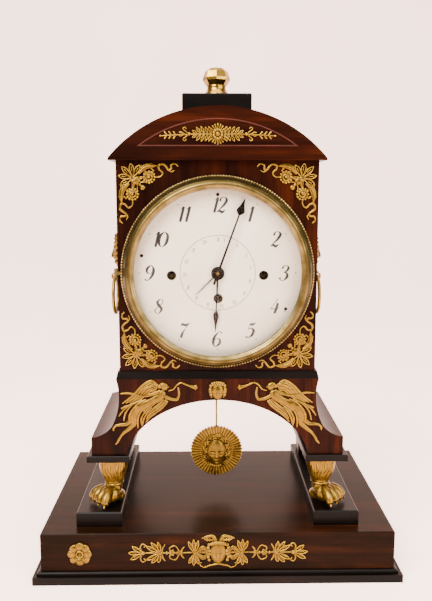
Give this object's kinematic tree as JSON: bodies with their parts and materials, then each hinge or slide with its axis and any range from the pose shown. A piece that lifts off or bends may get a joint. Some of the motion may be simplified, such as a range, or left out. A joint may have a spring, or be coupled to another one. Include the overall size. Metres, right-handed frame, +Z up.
{
  "type": "portico clock",
  "caption": "Wooden bracket clock on an arched portal with gilt paw feet, a hinged round bezel over an enamel dial, a pendulum hanging in the arch and a broad plinth",
  "frame": {"origin": "centre of the plinth's underside", "axes": "+Z up, front with the dial faces -Y, +X to the viewer's right"},
  "size_m": [0.387, 0.247, 0.5385],
  "materials": {
    "mahogany": "french-polished flame mahogany veneer",
    "ebonised": "black-stained and polished wood",
    "inlay": "reddish stringing line",
    "gilt": "fire-gilt bronze, matt with burnished high points",
    "brass": "lacquered brass with some tarnish",
    "steel": "plain polished steel",
    "hands": "dark blued steel",
    "enamel": "glossy fired enamel",
    "glass": "clear domed glass"
  },
  "bodies": {
    "case": {"arch_portal": "mahogany", "back_plate": "brass", "base_moulding": "ebonised", "bezel_hinge": "brass", "cap_plates": "ebonised", "case_sides": "mahogany", "corner_mount_bottom_left": "gilt", "corner_mount_bottom_right": "gilt", "corner_mount_top_left": "gilt", "corner_mount_top_right": "gilt", "crest_block": "ebonised", "dial": "enamel", "dial_screws": "steel", "door_pins": "brass", "fame_left": "gilt", "fame_right": "gilt", "finial": "gilt", "foot_blocks": "ebonised", "front_board": "mahogany", "front_plate": "brass", "gong_block": "brass", "gong_coils": "steel", "keystone_mask": "gilt", "paw_left": "gilt", "paw_right": "gilt", "pediment": "mahogany", "pediment_mount": "gilt", "plate_pillars": "brass", "plinth_box": "mahogany", "plinth_mount": "gilt", "plinth_skirt": "ebonised", "rear_posts": "ebonised", "rosette_left": "gilt", "seat_board": "mahogany", "side_masks": "gilt", "stringing_inlay": "inlay", "suspension_cock": "brass"},
    "bezel_door": {"bezel": "brass", "bezel_glass": "glass"},
    "ring_left": {"side_ring_left": "gilt"},
    "ring_right": {"side_ring_right": "gilt"},
    "minute_train": {"minute_hand": "hands", "centre_arbor": "steel"},
    "hour_train": {"hour_hand": "hands", "hour_wheel": "brass"},
    "date_train": {"date_hand": "hands", "date_wheel": "brass"},
    "minute_wheel": {"minute_wheel": "brass"},
    "going_barrel": {"going_barrel": "brass"},
    "third_wheel": {"third_wheel": "brass"},
    "escape_wheel": {"escape_wheel": "brass"},
    "pallets": {"pallets": "steel"},
    "pendulum": {"pendulum_rod": "brass", "pendulum_bob": "gilt"},
    "strike_barrel": {"strike_barrel": "brass"},
    "quarter_barrel": {"quarter_barrel": "brass"},
    "hour_hammer": {"hour_hammer": "brass"},
    "quarter_hammer": {"quarter_hammer": "brass"},
    "back_door": {"back_door": "mahogany", "door_knob": "brass"}
  },
  "joints": [
    {"name": "bezel_swing", "type": "hinge", "parent": "case", "child": "bezel_door", "pos_m": [-0.1043, -0.082, 0.322], "axis": [0, 0, -1], "range_deg": [0, 110]},
    {"name": "back_door_swing", "type": "hinge", "parent": "case", "child": "back_door", "pos_m": [0.0855, 0.075, 0.327], "axis": [0, 0, -1], "range_deg": [0, 95]},
    {"name": "ring_left_swing", "type": "hinge", "parent": "case", "child": "ring_left", "pos_m": [-0.116, 0, 0.3093], "axis": [0, 1, 0], "range_deg": [-14, 95]},
    {"name": "ring_right_swing", "type": "hinge", "parent": "case", "child": "ring_right", "pos_m": [0.116, 0, 0.3093], "axis": [0, -1, 0], "range_deg": [-14, 95]},
    {"name": "minute_turn", "type": "hinge", "parent": "case", "child": "minute_train", "pos_m": [0, -0.07, 0.322], "axis": [0, 1, 0], "continuous": true},
    {"name": "hour_turn", "type": "hinge", "parent": "case", "child": "hour_train", "pos_m": [0, -0.075, 0.322], "axis": [0, 1, 0], "continuous": true},
    {"name": "date_turn", "type": "hinge", "parent": "case", "child": "date_train", "pos_m": [0, -0.078, 0.322], "axis": [0, 1, 0], "continuous": true},
    {"name": "minute_wheel_turn", "type": "hinge", "parent": "case", "child": "minute_wheel", "pos_m": [0.01131, -0.061, 0.33331], "axis": [0, 1, 0], "continuous": true},
    {"name": "going_barrel_turn", "type": "hinge", "parent": "case", "child": "going_barrel", "pos_m": [0.0005, -0.04, 0.2955], "axis": [0, 1, 0], "continuous": true},
    {"name": "third_wheel_turn", "type": "hinge", "parent": "case", "child": "third_wheel", "pos_m": [-0.01035, -0.037, 0.33155], "axis": [0, 1, 0], "continuous": true},
    {"name": "escape_wheel_turn", "type": "hinge", "parent": "case", "child": "escape_wheel", "pos_m": [0, -0.037, 0.337], "axis": [0, 1, 0], "continuous": true},
    {"name": "pendulum_swing", "type": "hinge", "parent": "case", "child": "pendulum", "pos_m": [0, -0.006, 0.3505], "axis": [0, 1, 0], "range_deg": [-4, 4]},
    {"name": "pallets_rock", "type": "hinge", "parent": "case", "child": "pallets", "pos_m": [0, -0.04, 0.3505], "axis": [0, 1, 0], "range_deg": [-4, 4]},
    {"name": "strike_barrel_turn", "type": "hinge", "parent": "case", "child": "strike_barrel", "pos_m": [-0.0475, -0.04, 0.3195], "axis": [0, 1, 0], "continuous": true},
    {"name": "quarter_barrel_turn", "type": "hinge", "parent": "case", "child": "quarter_barrel", "pos_m": [0.0475, -0.04, 0.3195], "axis": [0, 1, 0], "continuous": true},
    {"name": "hour_hammer_swing", "type": "hinge", "parent": "case", "child": "hour_hammer", "pos_m": [0.06, 0, 0.345], "axis": [0, 1, 0], "range_deg": [-14, 0]},
    {"name": "quarter_hammer_swing", "type": "hinge", "parent": "case", "child": "quarter_hammer", "pos_m": [-0.06, 0, 0.345], "axis": [0, -1, 0], "range_deg": [-14, 0]}
  ],
  "couplings": [
    {"joint": "hour_turn", "follows": "minute_turn", "ratio": 0.083333},
    {"joint": "date_turn", "follows": "minute_turn", "ratio": 0.0013441},
    {"joint": "minute_wheel_turn", "follows": "minute_turn", "ratio": -0.33333},
    {"joint": "going_barrel_turn", "follows": "minute_turn", "ratio": -0.083333},
    {"joint": "third_wheel_turn", "follows": "minute_turn", "ratio": -10},
    {"joint": "escape_wheel_turn", "follows": "minute_turn", "ratio": 120},
    {"joint": "pallets_rock", "follows": "pendulum_swing", "ratio": 1}
  ]
}
